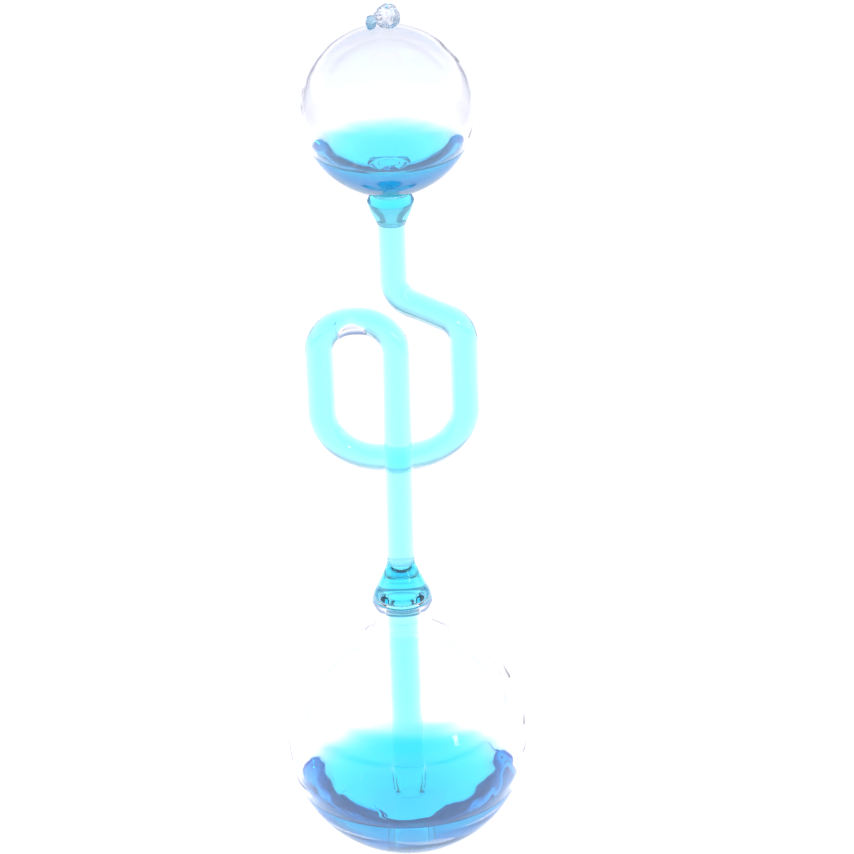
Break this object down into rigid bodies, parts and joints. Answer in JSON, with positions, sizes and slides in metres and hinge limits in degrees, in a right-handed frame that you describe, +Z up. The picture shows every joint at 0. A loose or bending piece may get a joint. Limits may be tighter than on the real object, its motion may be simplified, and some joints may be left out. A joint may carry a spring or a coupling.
{
  "type": "hand boiler",
  "caption": "Sealed glass hand boiler: a small blown bulb over a large one, joined by a looped glass tube and part filled with blue liquid that climbs when warmed.",
  "frame": {"origin": "centre of the flat foot under the lower bulb, on the surface the piece stands on", "axes": "+Z up along the stem; the tube's loop lies across X, its bottom bend on the +Y side of the stem; the viewer stands at -Y"},
  "size_m": [0.05, 0.05, 0.1862],
  "materials": {
    "clear_glass": "clear blown glass, smooth and glossy, colourless with a faint grey rim",
    "seal_glass": "clear melted glass lump with crumpled facets and a blue tinge at its foot",
    "blue_liquid": "sky-blue dyed spirit, clear, pale where thin and deep blue where thick"
  },
  "bodies": {
    "root": {"lower_bulb": "clear_glass", "ring_seal": "clear_glass", "dip_tube": "clear_glass", "lower_cone": "clear_glass", "loop_tube": "clear_glass", "upper_collar": "clear_glass", "throat_ring": "clear_glass", "upper_bulb": "clear_glass", "fill_stem": "clear_glass", "seal_nib": "seal_glass", "seal_tail": "seal_glass", "lower_pool": "blue_liquid", "dip_column": "blue_liquid", "cone_fill": "blue_liquid", "loop_column": "blue_liquid", "collar_fill": "blue_liquid", "upper_pool": "blue_liquid"}
  },
  "joints": []
}
